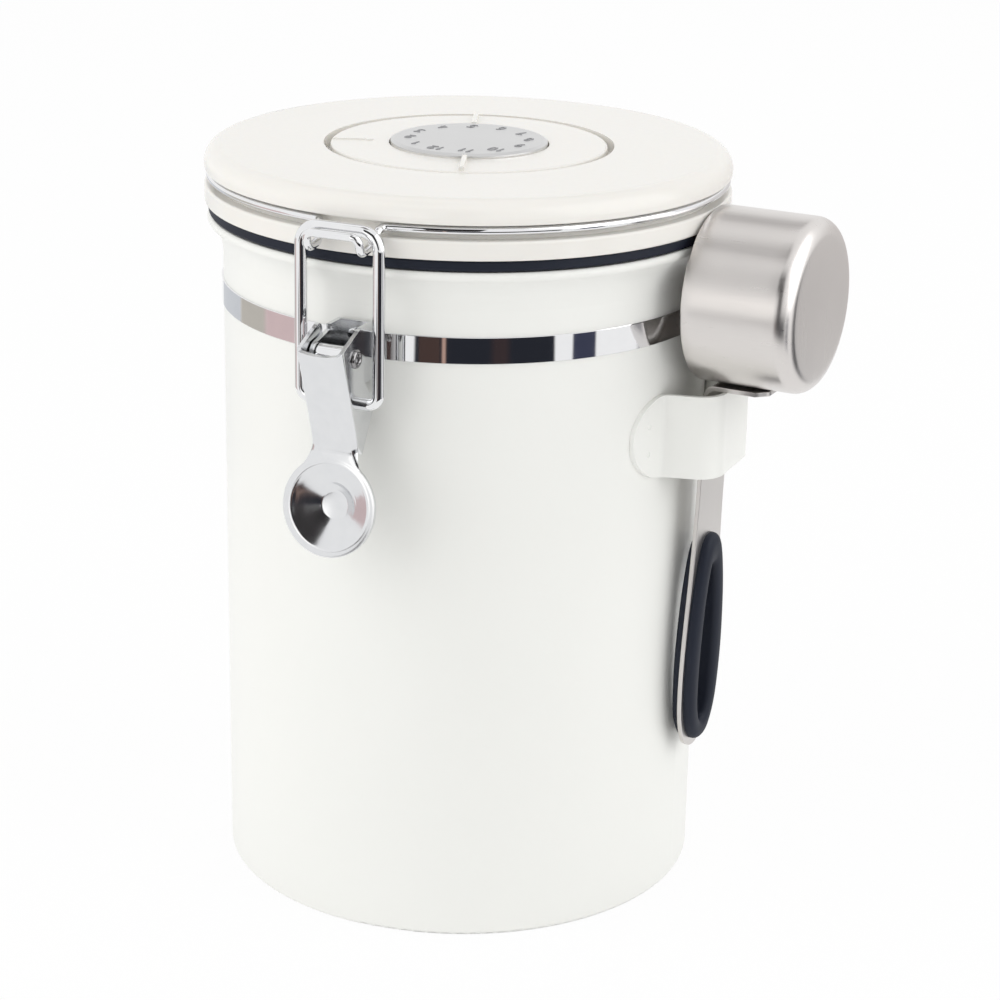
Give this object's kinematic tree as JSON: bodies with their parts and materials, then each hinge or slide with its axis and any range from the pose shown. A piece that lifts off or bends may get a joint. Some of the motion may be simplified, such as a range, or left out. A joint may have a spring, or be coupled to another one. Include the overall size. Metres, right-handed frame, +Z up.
{
  "type": "coffee canister",
  "caption": "Round food canister with a clamp lid on a wire bail, an over-centre latch, a date ring, a one-way valve and a hanging scoop.",
  "frame": {"origin": "centre of the canister's round base, on the surface it stands on", "axes": "+Z up through the lid, -Y towards the latch, +X towards the scoop, +Y towards the lid's hinge"},
  "size_m": [0.1521, 0.1459, 0.1795],
  "materials": {
    "body_white": "satin powder coat",
    "lid_ivory": "glossy moulded",
    "polished_steel": "mirror polished",
    "satin_steel": "brushed",
    "black_rubber": "matte",
    "silicone": "translucent matte",
    "ink_grey": "filled marking"
  },
  "bodies": {
    "canister": {"canister_body": "body_white", "base_pan": "body_white", "neck_band": "polished_steel", "latch_bracket": "polished_steel", "hinge_bracket": "polished_steel", "bracket_rivets": "polished_steel", "scoop_holder": "body_white"},
    "lid": {"lid_cover": "lid_ivory", "lid_base": "lid_ivory", "lid_gasket": "black_rubber", "lid_screws": "satin_steel", "bail_wire": "polished_steel", "dial_plate": "satin_steel", "dial_numerals": "ink_grey", "valve_cap": "lid_ivory", "valve_filter": "lid_ivory"},
    "date_dial": {"date_ring": "lid_ivory", "date_index": "lid_ivory"},
    "valve": {"valve_disc": "silicone"},
    "latch_lever": {"latch_lever": "polished_steel", "lever_rivet": "polished_steel", "lever_sleeve": "polished_steel"},
    "latch_loop": {"latch_loop": "polished_steel"},
    "scoop": {"scoop_cup": "satin_steel", "scoop_handle": "satin_steel", "scoop_grip": "black_rubber"}
  },
  "joints": [
    {"name": "lid_hinge", "type": "hinge", "parent": "canister", "child": "lid", "pos_m": [0, 0.067, 0.163], "axis": [-1, 0, 0], "range_deg": [0, 105]},
    {"name": "date_turn", "type": "hinge", "parent": "lid", "child": "date_dial", "pos_m": [0, 0, 0.1765], "axis": [0, 0, 1], "continuous": true},
    {"name": "valve_lift", "type": "slide", "parent": "lid", "child": "valve", "axis": [0, 0, 1], "range_m": [0, 0.0012]},
    {"name": "lever_pivot", "type": "hinge", "parent": "canister", "child": "latch_lever", "pos_m": [0, -0.0697, 0.144], "axis": [-1, 0, 0], "range_deg": [0, 90]},
    {"name": "loop_swing", "type": "hinge", "parent": "latch_lever", "child": "latch_loop", "pos_m": [0, -0.0665, 0.133], "axis": [-1, 0, 0], "range_deg": [-70, 0]},
    {"name": "scoop_lift", "type": "slide", "parent": "canister", "child": "scoop", "axis": [0.0314, -0.0019, 0.9995], "range_m": [0, 0.1]}
  ],
  "couplings": [
    {"joint": "loop_swing", "follows": "lever_pivot", "ratio": -0.74}
  ]
}
